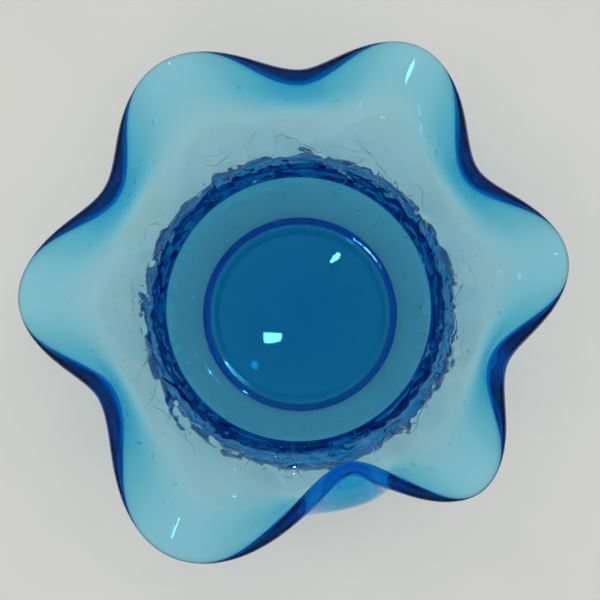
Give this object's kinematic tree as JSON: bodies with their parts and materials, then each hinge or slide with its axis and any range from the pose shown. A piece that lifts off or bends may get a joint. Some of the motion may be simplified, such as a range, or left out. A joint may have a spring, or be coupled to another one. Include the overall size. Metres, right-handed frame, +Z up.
{
  "type": "ruffled glass bowl",
  "caption": "Hand-blown blue crackle-glass bowl with a round belly, a pinched neck, a wide flared rim crimped into lobes, and an applied pad foot.",
  "frame": {"origin": "centre of the foot's flat underside, on the bowl's axis", "axes": "+Z up along the bowl's axis, +X towards a lobe of the rim"},
  "size_m": [0.218, 0.2062, 0.0915],
  "materials": {
    "blue_glass": "clear transparent blue, fire-polished, crackled in the belly wall"
  },
  "bodies": {
    "root": {"bowl_body": "blue_glass", "foot": "blue_glass"}
  },
  "joints": []
}
